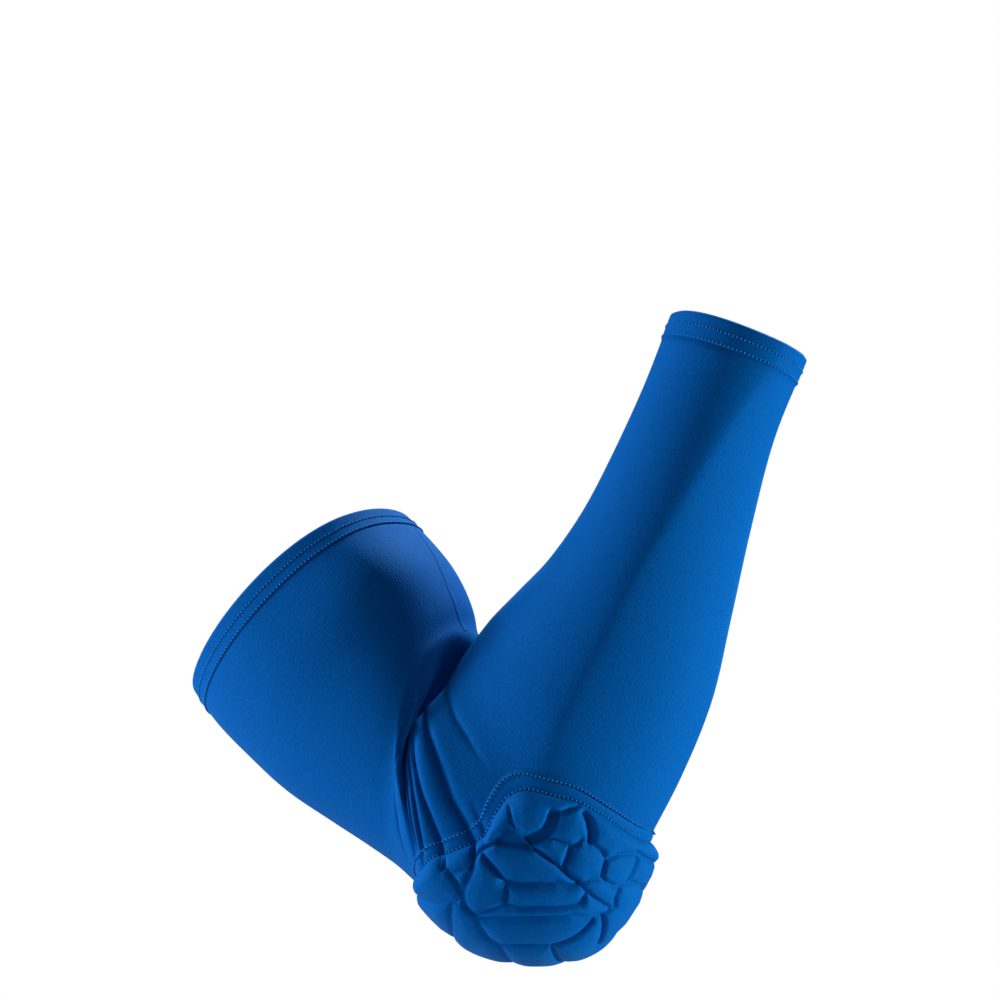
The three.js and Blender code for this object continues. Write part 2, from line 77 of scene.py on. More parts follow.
# Cross sections of the sleeve, from the upper hem (-1) over the bend (0) to the wrist hem (1):
# place along, inner point and outer point (part, share along it, share across it), depth share, bow share
SECTIONS = [
    (-1.00, ("upper", 0.955, 0.885), ("upper", 0.98, -0.97), 1.00, 0.30),
    (-0.85, ("upper", 0.855, 0.90), ("upper", 0.865, -0.995), 1.01, 0.24),
    (-0.70, ("upper", 0.76, 0.895), ("upper", 0.73, -0.975), 1.01, 0.15),
    (-0.55, ("upper", 0.68, 0.86), ("upper", 0.575, -0.93), 0.98, 0.09),
    (-0.40, ("upper", 0.61, 0.80), ("upper", 0.415, -0.83), 0.96, 0.15),
    (-0.28, ("upper", 0.56, 0.735), ("upper", 0.28, -0.74), 0.94, 0.33),
    (-0.20, ("crease", 0.01, -1.4), ("upper", 0.185, -0.685), 0.92, 0.60),
    (-0.13, ("crease", 0.30, -1.0), ("upper", 0.12, -0.665), 0.91, 0.85),
    (-0.07, ("crease", 0.70, -1.0), ("upper", 0.07, -0.645), 0.90, 0.97),
    (0.00, ("crease", 1.05, 0.0), ("tip", 0.05, 1.00), 0.89, 1.00),
    (0.06, ("crease", 0.80, 1.0), ("tip", 0.25, 1.02), 0.89, 1.00),
    (0.12, ("crease", 0.50, 1.0), ("tip", 0.50, 1.08), 0.89, 0.94),
    (0.18, ("crease", 0.20, 1.0), ("tip", 0.72, 1.20), 0.89, 0.82),
    (0.24, ("crease", -0.02, 1.4), ("tip", 0.90, 1.22), 0.89, 0.55),
    (0.32, ("forearm", 0.345, 0.89), ("forearm", 0.08, -0.925), 0.89, 0.24),
    (0.42, ("forearm", 0.42, 0.76), ("forearm", 0.22, -0.975), 0.88, 0.09),
    (0.53, ("forearm", 0.495, 0.63), ("forearm", 0.37, -0.965), 0.84, 0.0),
    (0.64, ("forearm", 0.59, 0.54), ("forearm", 0.52, -0.85), 0.76, 0.0),
    (0.76, ("forearm", 0.705, 0.505), ("forearm", 0.68, -0.72), 0.66, 0.0),
    (0.88, ("forearm", 0.845, 0.50), ("forearm", 0.85, -0.61), 0.54, 0.0),
    (1.00, ("forearm", 0.985, 0.53), ("forearm", 1.005, -0.60), 0.48, 0.12),
]

# a pleat's cross section, by the formula in relief
VALLEY_TOP, VALLEY_SLOPE, VALLEY_ROUND = 0.2, 1.2, 0.03
# degrees past its last point over which a pleat or a swell still fades
FADE_PAST = 3.0

# Pleats pressed into the cloth: depth in mm, width along the sleeve, fade at the start and the end in
# degrees, path of (angle, place along)
FOLDS = [
    (3.8, 0.010, 10, 35,
     ((24, -0.127), (36, -0.083), (46, -0.030), (62, -0.004), (78, 0.005), (104, -0.022), (140, -0.045))),
    (2.2, 0.006, 15, 25, ((60, 0.030), (80, 0.032), (94, 0.028), (112, 0.018), (128, 0.005))),
    (2.6, 0.007, 15, 12, ((58, 0.056), (72, 0.050), (87, 0.052), (101, 0.060), (111, 0.065), (126, 0.058))),
    (3.0, 0.009, 15, 12,
     ((44, 0.080), (58, 0.092), (70, 0.100), (82, 0.105), (94, 0.107), (103, 0.115), (112, 0.120),
      (126, 0.107))),
    (1.3, 0.008, 10, 20, ((42, 0.135), (56, 0.153), (68, 0.160), (76, 0.170), (92, 0.186))),
    (0.8, 0.008, 15, 20, ((112, -0.135), (130, -0.125), (150, -0.073))),
    (1.4, 0.006, 10, 12, ((100, 0.140), (108, 0.142), (118, 0.132))),
    (1.6, 0.005, 12, 14, ((72, 0.018), (92, 0.010), (110, -0.004), (124, -0.016))),
]

# Swells of the cloth on both sides of the crease and along the upper part: height in mm, then as for a pleat
SWELLS = [
    (3.6, 0.075, 20, 40, ((32, -0.125), (60, -0.100), (100, -0.090))),
    (5.0, 0.200, 25, 45, ((30, -0.72), (95, -0.72))),
    (5.0, 0.060, 12, 40, ((24, 0.040), (60, 0.075), (100, 0.080))),
]

# The crest down the longer part: (place along, angle round), its height in mm, how many degrees it takes to
# fall away towards the inner and the outer side, and the rounding of its top
CREST = ((0.20, 100), (0.29, 102), (0.43, 97), (0.56, 95), (0.65, 100), (0.82, 117), (0.98, 141))
CREST_HEIGHT, CREST_IN, CREST_OUT, CREST_ROUND, CREST_POWER = 4.0, 45.0, 20.0, 0.004, 0.65
# the crest rises up to this far past its second point, and loses a share of its height towards the wrist hem
CREST_RISE_PAST, CREST_LOSS, CREST_LOSS_FROM = 0.05, 0.6, 0.80

# Half of the pad's edge: (place along, angle)
PAD_CENTRE = (0.15, 180.0)
PAD_EDGE = (
    (-0.08, 180), (-0.068, 155), (-0.045, 132), (0.015, 113), (0.075, 107), (0.135, 103.5), (0.165, 98.5),
    (0.20, 95.5), (0.235, 97), (0.265, 103), (0.305, 117), (0.325, 131), (0.34, 150), (0.352, 180),
)
# points along each side of the square grid that is laid on the pad
PAD_GRID = 300
FLANGE, FOAM_TOP, GAP = 0.8, 6.9, 0.4
CROWN_HEIGHT, CROWN_REACH = 0.9, 7.0
GROOVE_SPREAD, GROOVE_POWER = 1.4, 1.8
# how far past a groove's path, along and in degrees, the pad's points are measured from it
NEAR_ALONG, NEAR_ANGLE = 0.04, 10.0
# the foam's shoulder, as shares of the way out to the pad's edge, and what its sewn edge loses at the rim
SHOULDER_END, SHOULDER_WIDTH, EDGE_ROUND = 0.905, 0.075, 0.6
# shares of the way out from which the sewn edge thins and from which its rim is rounded
EDGE_THIN_FROM, EDGE_ROUND_FROM = 0.93, 0.96
# the foam is thinner by this at the upper end, from one place along to the other
THINNING, THIN_FROM, THIN_TO = 1.6, 0.07, -0.06
# the cloth's pleats show on the pad outside this share, and fully outside the other
PLEATS_FROM, PLEATS_TO = 0.80, 0.92
# shares of the way out of the rings that close the pad's underside
UNDER_RINGS = (1.0, 0.93, 0.6, 0.3)

# Grooves between the pad's cells, on the near side; the far side has the same.
# depth and half width in mm, whether the path closes round a low floor, path of (place along, angle)
GROOVES = [
    ("wedge_floor", 3.8, 3.0, True,
     ((0.157, 113), (0.181, 112.5), (0.187, 114), (0.192, 117.5), (0.197, 120),
      (0.182, 117.5), (0.16, 114.5))),
    ("leaf_floor", 4.8, 1.7, True,
     ((0.254, 117.5), (0.262, 120), (0.252, 121), (0.242, 122), (0.23, 122.5), (0.21, 121), (0.2, 120),
      (0.196, 117), (0.208, 118), (0.228, 119.5), (0.242, 119))),
    ("top_edge", 2.4, 1.6, False, ((0.262, 120), (0.278, 122), (0.292, 125))),
    ("top_low", 2.4, 2.0, False,
     ((0.231, 122.5), (0.237, 124.5), (0.243, 127.5), (0.252, 131), (0.266, 133))),
    ("right_floor", 3.8, 2.4, False, ((0.291, 128.5), (0.289, 131.5), (0.283, 134.5), (0.274, 136.5))),
    ("small_left", 2.6, 1.8, False, ((0.199, 120), (0.206, 123.5), (0.212, 127), (0.218, 131), (0.222, 135))),
    ("small_right", 3.4, 2.2, False,
     ((0.25, 131), (0.24, 132.5), (0.228, 133.5), (0.224, 136), (0.226, 139.5), (0.231, 142.5))),
    ("middle_top", 1.8, 1.8, False, ((0.266, 133), (0.275, 138.5), (0.278, 143), (0.276, 147))),
    ("middle_right", 2.2, 1.5, False, ((0.276, 147), (0.267, 148), (0.258, 149.5), (0.259, 153))),
    ("middle_low", 1.6, 1.8, False, ((0.231, 142.5), (0.246, 145.5), (0.258, 149.5))),
    ("right_cells", 1.8, 1.5, False, ((0.276, 147), (0.292, 152), (0.302, 158), (0.31, 162.5), (0.312, 180))),
    ("right_strip", 1.7, 1.4, False, ((0.31, 162.5), (0.302, 165), (0.287, 165.5), (0.273, 164))),
    ("side_low", 1.8, 1.6, False, ((0.259, 153), (0.263, 159), (0.273, 164), (0.28, 169), (0.282, 180))),
    ("side_step", 2.0, 1.6, False, ((0.231, 142.5), (0.232, 148), (0.235, 153), (0.24, 160), (0.242, 165))),
    ("side_cut", 2.0, 1.5, False, ((0.264, 162), (0.254, 163), (0.247, 166.5), (0.242, 165))),
    ("corner", 2.6, 1.7, False, ((0.242, 165), (0.229, 163), (0.223, 167.5), (0.212, 173), (0.194, 180))),
    ("bar_top", 3.6, 1.5, False, ((0.139, 114), (0.152, 114), (0.171, 116), (0.186, 118), (0.199, 120))),
    ("bar_valley", 2.8, 2.6, False,
     ((0.143, 127), (0.156, 129), (0.181, 132), (0.203, 136), (0.215, 139.5), (0.231, 143))),
    ("second_low", 2.2, 2.0, False,
     ((0.133, 135.5), (0.145, 138), (0.166, 140), (0.19, 144), (0.216, 149), (0.232, 148))),
    ("third_low", 2.0, 2.4, False,
     ((0.094, 141.5), (0.115, 141), (0.146, 142.5), (0.174, 146), (0.197, 150.5), (0.21, 156), (0.228, 162))),
    ("crescent", 2.4, 1.8, False, ((0.216, 160), (0.204, 160.5), (0.193, 161), (0.179, 161), (0.159, 160.5))),
    ("bottom", 1.9, 1.7, False, ((0.103, 157), (0.123, 157), (0.142, 158), (0.159, 160.5))),
    ("left_low", 1.5, 1.7, False, ((0.09, 140), (0.09, 146), (0.094, 153), (0.103, 157), (0.098, 180))),
    ("hex_right", 2.6, 1.6, False, ((0.131, 116), (0.138, 121), (0.145, 127), (0.141, 131), (0.133, 135.5))),
    ("hex_low", 2.0, 2.0, False, ((0.09, 140), (0.105, 138), (0.117, 137), (0.133, 135.5))),
    ("hex_left", 2.2, 1.8, False,
     ((0.111, 119.5), (0.099, 123), (0.087, 127.5), (0.081, 131.5), (0.081, 136), (0.09, 140))),
    ("slot", 4.2, 1.5, False, ((0.118, 103.5), (0.12, 108), (0.12, 112.5), (0.115, 116.5), (0.107, 120))),
    ("slot_link", 2.6, 1.6, False, ((0.116, 116.5), (0.127, 115), (0.139, 114))),
    ("left_edge", 3.0, 1.4, False, ((0.072, 107), (0.072, 111), (0.071, 115), (0.067, 119.5))),
    ("left_bottom", 1.6, 1.8, False, ((0.07, 118.5), (0.085, 120.5), (0.101, 119.5), (0.113, 118))),
    ("round_right", 2.0, 1.8, False, ((0.07, 118.5), (0.077, 122), (0.082, 126.5), (0.081, 131))),
    ("round_low", 1.4, 1.9, False,
     ((-0.04, 151), (-0.013, 145), (0.032, 137), (0.059, 134), (0.07, 134), (0.081, 131))),
    ("low_split", 1.3, 1.7, False, ((0.062, 135), (0.054, 142), (0.048, 149.5), (0.028, 172), (0.028, 180))),
    ("leaf_left", 2.4, 1.4, False, ((0.189, 110.5), (0.189, 113), (0.192, 115.5), (0.197, 118.5))),
    ("leaf_top", 1.2, 1.2, False, ((0.197, 106), (0.193, 109), (0.19, 110.5))),
    ("back_two", 1.7, 1.7, False, ((0.159, 160.5), (0.155, 170), (0.152, 180))),
]

# The flat seam: (place along, angle), and the points along and across it
SEAM_PATH = ((-0.89, 7), (-0.767, 11), (-0.60, 16), (-0.49, 18), (-0.36, 17), (-0.24, 14))
SEAM_ROWS, SEAM_COLUMNS = 160, 9


# Shape functions
def plane_point(part, along, across):
    """A point of the bend plane, as shares of a part's length and half width, of the tip's turn and radius,
    or of the crease's length and gap."""
    if part == "upper":
        return UPPER_AXIS * along * UPPER_LENGTH + UPPER_ACROSS * across * UPPER_HALF_WIDTH
    if part == "forearm":
        return np.array([-across * FOREARM_HALF_WIDTH, along * FOREARM_LENGTH])
    if part == "tip":
        turn = (BEND - math.pi) * (1 - along)
        return np.array([math.cos(turn), math.sin(turn)]) * across * ELBOW_RADIUS
    turns = [(CREASE_TURN_OUT, CREASE_LENGTH_OUT), (CREASE_TURN_IN, CREASE_LENGTH_IN)]
    start, end = [np.array([-math.sin(t * BEND), math.cos(t * BEND)]) * r for t, r in turns]
    axis = end - start
    side = np.array([-axis[1], axis[0]]) / np.hypot(*axis)
    return start + axis * along + side * across * CREASE_GAP / 2


def smooth_rows(places, rows):
    """Rows joined by cubic pieces whose slope at a row is the weighted mean of the rises beside it."""
    t, v = np.asarray(places, float), np.asarray(rows, float)
    h = np.diff(t)[:, None]
    rise = np.diff(v, axis=0) / h
    slope = np.vstack([rise[:1], (rise[:-1] * h[1:] + rise[1:] * h[:-1]) / (h[1:] + h[:-1]), rise[-1:]])

    def at(x):
        x = np.asarray(x, float)
        k = np.clip(np.searchsorted(t, x, side="right") - 1, 0, len(t) - 2)
        step = h[k, 0][..., None]
        u = ((x - t[k])[..., None]) / step
        start = 2 * u**3 - 3 * u**2 + 1
        bend = (u**3 - 2 * u**2 + u) * step * slope[k] + (u**3 - u**2) * step * slope[k + 1]
        return start * v[k] + (1 - start) * v[k + 1] + bend

    return at


def section_row(inner, outer, depth, bow):
    """A section in mm: inner point, outer point, half depth, and bow along the part's axis."""
    axis = FOREARM_AXIS if outer[0] == "forearm" else UPPER_AXIS
    return [*plane_point(*inner), *plane_point(*outer), depth * HALF_DEPTH, *(axis * bow * BOW_LENGTH)]


section_at = smooth_rows([s[0] for s in SECTIONS], [section_row(*s[1:]) for s in SECTIONS])


def ease(a, b, x):
    """3 t squared - 2 t cubed, for t from 0 at a to 1 at b."""
    t = np.clip((x - a) / (b - a), 0, 1)
    return t * t * (3 - 2 * t)


def side_of(angle):
    """The angle from the inner side, the same on the near and the far side."""
    return np.where(angle > 180, 360 - angle, angle)


def form(along, angle):
    """The worn form under the cloth: inner (1 + cos)/2 + outer (1 - cos)/2 + bow, and y = -depth sin."""
    along, angle = np.broadcast_arrays(np.asarray(along, float), np.asarray(angle, float))
    r = section_at(np.clip(along, -1, 1))
    c, s = np.cos(np.radians(angle)), np.sin(np.radians(angle))
    bow = (np.sqrt(s * s + BOW_EASE) - math.sqrt(BOW_EASE)) * (1 + c) / 2
    x = r[..., 0] * (1 + c) / 2 + r[..., 2] * (1 - c) / 2 + r[..., 5] * bow
    z = r[..., 1] * (1 + c) / 2 + r[..., 3] * (1 - c) / 2 + r[..., 6] * bow
    return np.stack([x, -r[..., 4] * s, z], -1)


def normal(along, angle):
    """Unit normal: a short step round crossed with a short step along."""
    a = form(np.minimum(along + ALONG_STEP, 1), angle) - form(np.maximum(along - ALONG_STEP, -1), angle)
    b = form(along, angle + ANGLE_STEP) - form(along, angle - ANGLE_STEP)
    n = np.cross(b, a)
    return n / np.linalg.norm(n, axis=-1, keepdims=True)


def relief(along, angle):
    """How far the cloth lies off the form, with x in widths from each path: swells as exp(-x squared), pleats
    as -exp(VALLEY_TOP - VALLEY_SLOPE sqrt(x squared + VALLEY_ROUND)), and the crest as
    exp(-(x squared + CREST_ROUND)^CREST_POWER)."""
    side = side_of(angle)
    off = np.zeros(np.broadcast(along, angle).shape)
    for table, sign in ((FOLDS, -1), (SWELLS, 1)):
        for size, width, fade_in, fade_out, path in table:
            angles, places = np.array(path, float).T
            x = (along - np.interp(side, angles, places)) / width
            fade = ease(angles[0] - fade_in / 2, angles[0] + fade_in, side)
            fade = fade * (1 - ease(angles[-1] - fade_out, angles[-1] + FADE_PAST, side))
            valley = np.exp(VALLEY_TOP - VALLEY_SLOPE * np.sqrt(x * x + VALLEY_ROUND))
            bell = np.exp(-x * x) if sign > 0 else valley
            off = off + sign * size * fade * bell
    places, angles = np.array(CREST, float).T
    x = side - np.interp(along, places, angles)
    x = x / np.where(x > 0, CREST_OUT, CREST_IN)
    rise = ease(places[0], places[1] + CREST_RISE_PAST, along)
    fade = rise * (1 - CREST_LOSS * ease(CREST_LOSS_FROM, 1.0, along))
    return off + CREST_HEIGHT * fade * np.exp(-((x * x + CREST_ROUND) ** CREST_POWER))


def cloth(along, angle, lift):
    """The cloth: form + normal (relief + lift)."""
    along, angle = np.broadcast_arrays(np.asarray(along, float), np.asarray(angle, float))
    return form(along, angle) + normal(along, angle) * (relief(along, angle) + lift)[..., None]


pad_edge_half = smooth_rows(np.linspace(0, 1, len(PAD_EDGE)), PAD_EDGE)


def pad_edge(turn):
    """The pad's edge at each share of the way round it."""
    turn = np.asarray(turn, float) % 1.0
    half = np.where(turn <= 0.5, turn * 2, 2 - turn * 2)
    e = pad_edge_half(half)
    return e[..., 0], np.where(turn <= 0.5, e[..., 1], 360 - e[..., 1])


# Mesh helpers
def make_mesh(name, points, faces, material, smooth=True, weave=None):
    """A mesh from arrays: points in mm, faces as rows of indices, weave as the places of its points in mm
    across and along the flat cloth."""
    mesh = bpy.data.meshes.new(name)
    points = np.asarray(points, float).reshape(-1, 3) * MM
    faces = np.asarray(faces, np.int32)
    width = faces.shape[1]
    mesh.vertices.add(len(points))
    mesh.vertices.foreach_set("co", points.astype(np.float32).ravel())
    mesh.loops.add(faces.size)
    mesh.loops.foreach_set("vertex_index", faces.ravel())
    mesh.polygons.add(len(faces))
    mesh.polygons.foreach_set("loop_start", np.arange(0, faces.size, width, dtype=np.int32))
    mesh.polygons.foreach_set("use_smooth", np.full(len(faces), smooth))
    mesh.update(calc_edges=True)
    mesh.validate()
    mesh.materials.append(material)
    if weave is not None:
        place = mesh.attributes.new("weave_mm", "FLOAT_VECTOR", "POINT")
        on_cloth = np.column_stack([weave, np.zeros(len(weave))]).astype(np.float32)
        place.data.foreach_set("vector", on_cloth.ravel())
    piece = bpy.data.objects.new(name, mesh)
    bpy.context.collection.objects.link(piece)
    return piece


def weave_of(along, angle):
    """Where a place of the sleeve lies on the flat cloth: mm round it and mm along it."""
    return np.stack([np.ravel(angle) / 360 * FLAT_WIDTH, np.ravel(along) * FLAT_LENGTH / 2], -1)


def grid_faces(rows, columns, start=0, closed=False, turned=False):
    """Quads of a grid of rows x columns points, joined round if closed."""
    i, j = np.meshgrid(np.arange(rows - 1), np.arange(columns if closed else columns - 1), indexing="ij")
    n = (j + 1) % columns
    quads = np.stack([i * columns + j, i * columns + n, (i + 1) * columns + n, (i + 1) * columns + j], -1)
    quads = quads.reshape(-1, 4) + start
    return quads[:, ::-1] if turned else quads


def ring_mesh(name, s, a, outer_lift, inner_lift, material):
    """A closed ring of cloth: an outer and an inner grid over places and angles, joined at both ends."""
    rows, columns = s.shape
    count = rows * columns
    points = np.concatenate([cloth(s, a, lift).reshape(-1, 3) for lift in (outer_lift, inner_lift)])
    faces = [grid_faces(rows, columns, 0, True), grid_faces(rows, columns, count, True, True)]
    j = np.arange(columns)
    n = (j + 1) % columns
    for row, turned in ((0, True), (rows - 1, False)):
        first = row * columns
        rim = np.stack([first + j, first + n, count + first + n, count + first + j], -1)
        faces.append(rim[:, ::-1] if turned else rim)
    return make_mesh(name, points, np.concatenate(faces), material, weave=np.tile(weave_of(s, a), (2, 1)))


# Materials
def linear(hex_colour):
    """An sRGB hex colour as linear values."""
    values = [int(hex_colour[k : k + 2], 16) / 255 for k in (1, 3, 5)]
    return tuple(v / 12.92 if v <= 0.04045 else ((v + 0.055) / 1.055) ** 2.4 for v in values) + (1.0,)


def node(tree, kind, links=(), **settings):
    """Adds a node. Settings named like a property set it, the rest set inputs; links are (input, source)."""
    made = tree.nodes.new(kind)
    for key, value in settings.items():
        if hasattr(made, key):
            setattr(made, key, value)
        else:
            made.inputs[key.replace("_", " ")].default_value = value
    for target, source in links:
        tree.links.new(source, made.inputs[target])
    return made


def knit_material(name, colour, dark, roughness, ribs):
    """Stretch knit: wales as sin(2 pi x / WALE) across the cloth plus a fuzz of about 1 mm as a bump, an
    uneven dye, and the soft blue sheen of the yarn at grazing angles."""
    material = bpy.data.materials.new(name)
    material.use_nodes = True
    tree = material.node_tree
    tree.nodes.clear()
    weave = node(tree, "ShaderNodeAttribute", attribute_name="weave_mm")
    apart = node(tree, "ShaderNodeSeparateXYZ", [("Vector", weave.outputs["Vector"])])
    turn = node(tree, "ShaderNodeMath", [(0, apart.outputs["X"])], operation="MULTIPLY")
    turn.inputs[1].default_value = 2 * math.pi / WALE
    wale = node(tree, "ShaderNodeMath", [(0, turn.outputs["Value"])], operation="SINE")
    place = node(tree, "ShaderNodeTexCoord")
    on_object = [("Vector", place.outputs["Object"])]
    fuzz = node(tree, "ShaderNodeTexNoise", on_object, Scale=FUZZ_PER_METRE, Detail=2.0)
    height = node(
        tree, "ShaderNodeMath", [(0, wale.outputs["Value"]), (2, fuzz.outputs["Fac"])],
        operation="MULTIPLY_ADD"
    )
    height.inputs[1].default_value = ribs
    bump = node(tree, "ShaderNodeBump", [("Height", height.outputs["Value"])], Strength=0.5, Distance=0.00025)
    dye = node(tree, "ShaderNodeMix", [("Factor", fuzz.outputs["Fac"])], data_type="RGBA")
    dye.inputs[6].default_value = linear(dark)
    dye.inputs[7].default_value = linear(colour)
    yarn = node(
        tree,
        "ShaderNodeBsdfPrincipled",
        [("Base Color", dye.outputs[2]), ("Normal", bump.outputs["Normal"])],
        Roughness=roughness,
        Specular_IOR_Level=0.05,
        Specular_Tint=linear("#30b0ff"),
        Sheen_Weight=0.08,
        Sheen_Roughness=0.4,
        Sheen_Tint=linear("#0aa0d8"),
    )
    node(tree, "ShaderNodeOutputMaterial", [("Surface", yarn.outputs["BSDF"])])
    return material


def pale_paint():
    """White studio floor: a matt lit panel, which stays evenly pale out to its edge."""
    material = bpy.data.materials.new("white_floor")
    material.use_nodes = True
    shader = material.node_tree.nodes["Principled BSDF"]
    shader.inputs["Base Color"].default_value = linear("#616161")
    shader.inputs["Roughness"].default_value = 1.0
    shader.inputs["Specular IOR Level"].default_value = 0.0
    shader.inputs["Emission Color"].default_value = linear("#ffffff")
    shader.inputs["Emission Strength"].default_value = 0.48
    return material


# the sleeve and its hems: royal blue knit, its wales just visible
KNIT = knit_material("blue_knit", "#025fb6", "#014489", 0.75, 0.10)
# the pad's cover: the same knit, stretched smoother over the foam
PAD_KNIT = knit_material("blue_pad_cover", "#025fb6", "#014b92", 0.7, 0.08)
# the stitches: smooth thread, lighter than the cloth
THREAD = knit_material("blue_thread", "#1f8ae0", "#1a7ccc", 0.5, 0.0)
# the needle holes between the stitches: painted shade, a dark cloth colour standing in for the deep shade
# inside them
HOLE_SHADE_PAINT = knit_material("painted_needle_shade", "#0a1c4c", "#081842", 0.9, 0.0)

# The sleeve: its rows are closest at the pleats
ROW_STOPS = (UPPER_HEM_LINE - 0.008, -0.25, -0.14, 0.20, 0.30, WRIST_HEM_LINE + 0.004)
ROW_COUNTS = (30, 12, 150, 12, 40)
SLEEVE_COLUMNS, HEM_ROWS, HEM_COLUMNS = 200, 15, 240


def knit_sleeve():
    """The sleeve's wall: cloth with its outer face on the form and its inner face CLOTH under it."""
    spans = zip(ROW_STOPS[:-1], ROW_STOPS[1:], ROW_COUNTS)
    places = np.concatenate([np.linspace(first, last, count)[:-1] for first, last, count in spans])
    places = np.append(places, ROW_STOPS[-1])
    angles = np.arange(SLEEVE_COLUMNS) * 360 / SLEEVE_COLUMNS
    s, a = np.meshgrid(places, angles, indexing="ij")
    return ring_mesh("knit_sleeve", s, a, 0.0, -CLOTH, KNIT)


def hem_band(name, first, last, node_name):
    """A hem: cloth folded double, both faces drawn in at its open edge by HEM_ROUND ease squared."""
    t = np.linspace(0, 1, HEM_ROWS)
    towards_edge = 1 - t if abs(first) > abs(last) else t
    angles = np.arange(HEM_COLUMNS) * 360 / HEM_COLUMNS
    s, a = np.meshgrid(first + (last - first) * t, angles, indexing="ij")
    drawn = HEM_ROUND * ease(HEM_FLAT_SHARE, 1.0, towards_edge)[:, None] ** 2
    hem = ring_mesh(name, s, a, HEM_STEP - drawn, HEM_STEP - 2 * CLOTH + drawn, KNIT)
    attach(hem, "root")
    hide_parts(node_name)
    return hem


sleeve = knit_sleeve()
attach(sleeve, "root")
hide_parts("sleeve")
upper_hem = hem_band("upper_hem_band", -1.0, UPPER_HEM_LINE, "upper_hem")
wrist_hem = hem_band("wrist_hem_band", WRIST_HEM_LINE, 1.0, "wrist_hem")


# The pad
def inside(s, a, corners):
    """Which points lie within a polygon of (place along, angle) corners: an odd count of edges crossed."""
    result = np.zeros(s.shape, bool)
    for (s0, a0), (s1, a1) in zip(corners, np.roll(corners, -1, axis=0)):
        crosses = (a0 > a) != (a1 > a)
        with np.errstate(divide="ignore", invalid="ignore"):
            result ^= crosses & (s < (s1 - s0) * (a - a0) / (a1 - a0) + s0)
    return result


def path_distance(points, path, closed):
    """Distance in mm from points to a path of (place along, angle) on the foam, each step cut in four."""
    c = np.asarray(path, float)
    ends = np.roll(c, -1, axis=0) if closed else c[1:]
    t = np.linspace(0, 1, 5)[:-1, None, None]
    ring = ((c[: len(ends)][None] * (1 - t)) + ends[None] * t).transpose(1, 0, 2).reshape(-1, 2)
    ring = np.vstack([ring, c[:1] if closed else c[-1:]])
    ring = form(ring[:, 0], ring[:, 1]) + normal(ring[:, 0], ring[:, 1]) * FOAM_TOP
    best = np.full(len(points), 1e9)
    for p, q in zip(ring[:-1], ring[1:]):
        d = q - p
        along = np.clip(((points - p) @ d) / (d @ d), 0, 1)
        best = np.minimum(best, np.linalg.norm(points - p - along[:, None] * d, axis=1))
    return best


def pad_height(s, a, share, foam_points):
    """The pad's top over the form: a thin sewn edge, foam with a quarter-round shoulder, and grooves cut in
    as depth (1 - distance / width)^GROOVE_POWER, between cells that crown a little away from them."""
    drop = np.zeros(s.shape)
    nearest = np.full(s.shape, CROWN_REACH)
    for _, depth, width, closed, path in GROOVES:
        for mirrored in (False, True):
            c = np.array(path, float)
            c[:, 1] = 360 - c[:, 1] if mirrored else c[:, 1]
            near = (s > c[:, 0].min() - NEAR_ALONG) & (s < c[:, 0].max() + NEAR_ALONG)
            near &= (a > c[:, 1].min() - NEAR_ANGLE) & (a < c[:, 1].max() + NEAR_ANGLE)
            index = np.flatnonzero(near)
            d = path_distance(foam_points[index], c, closed)
            if closed:
                d[inside(s[index], a[index], c)] = 0
            cut = depth * np.clip(1 - d / (GROOVE_SPREAD * width), 0, 1) ** GROOVE_POWER
            drop[index] = np.maximum(drop[index], cut)
            nearest[index] = np.minimum(nearest[index], d)
    rise = np.clip((SHOULDER_END - share) / SHOULDER_WIDTH, 0, 1)
    shoulder = np.sqrt(1 - (1 - rise) ** 2)
    top = FOAM_TOP - THINNING * ease(THIN_FROM, THIN_TO, s) + CROWN_HEIGHT * ease(0, CROWN_REACH, nearest)
    edge = FLANGE * (1 - ease(EDGE_THIN_FROM, 1.0, share)) - EDGE_ROUND * ease(EDGE_ROUND_FROM, 1.0, share)
    return edge + (np.maximum(top - drop, FLANGE) - FLANGE) * shoulder


def pad_place(s, a, share):
    """Places and angles at a share of their way out from the pad's centre."""
    return PAD_CENTRE[0] + (s - PAD_CENTRE[0]) * share, PAD_CENTRE[1] + (a - PAD_CENTRE[1]) * share


def pad_grid():
    """A square grid laid on a disc, x = u sqrt(1 - v squared / 2) and y = v sqrt(1 - u squared / 2), and the
    disc on the pad: place along, angle, and share of the way out."""
    u = np.linspace(-1, 1, PAD_GRID)
    gu, gv = np.meshgrid(u, u, indexing="ij")
    dx, dy = gu * np.sqrt(1 - gv**2 / 2), gv * np.sqrt(1 - gu**2 / 2)
    share = np.hypot(dx, dy)
    turn = (np.arctan2(dy, -dx) / (2 * math.pi)) % 1.0
    return *pad_place(*pad_edge(turn), share), share


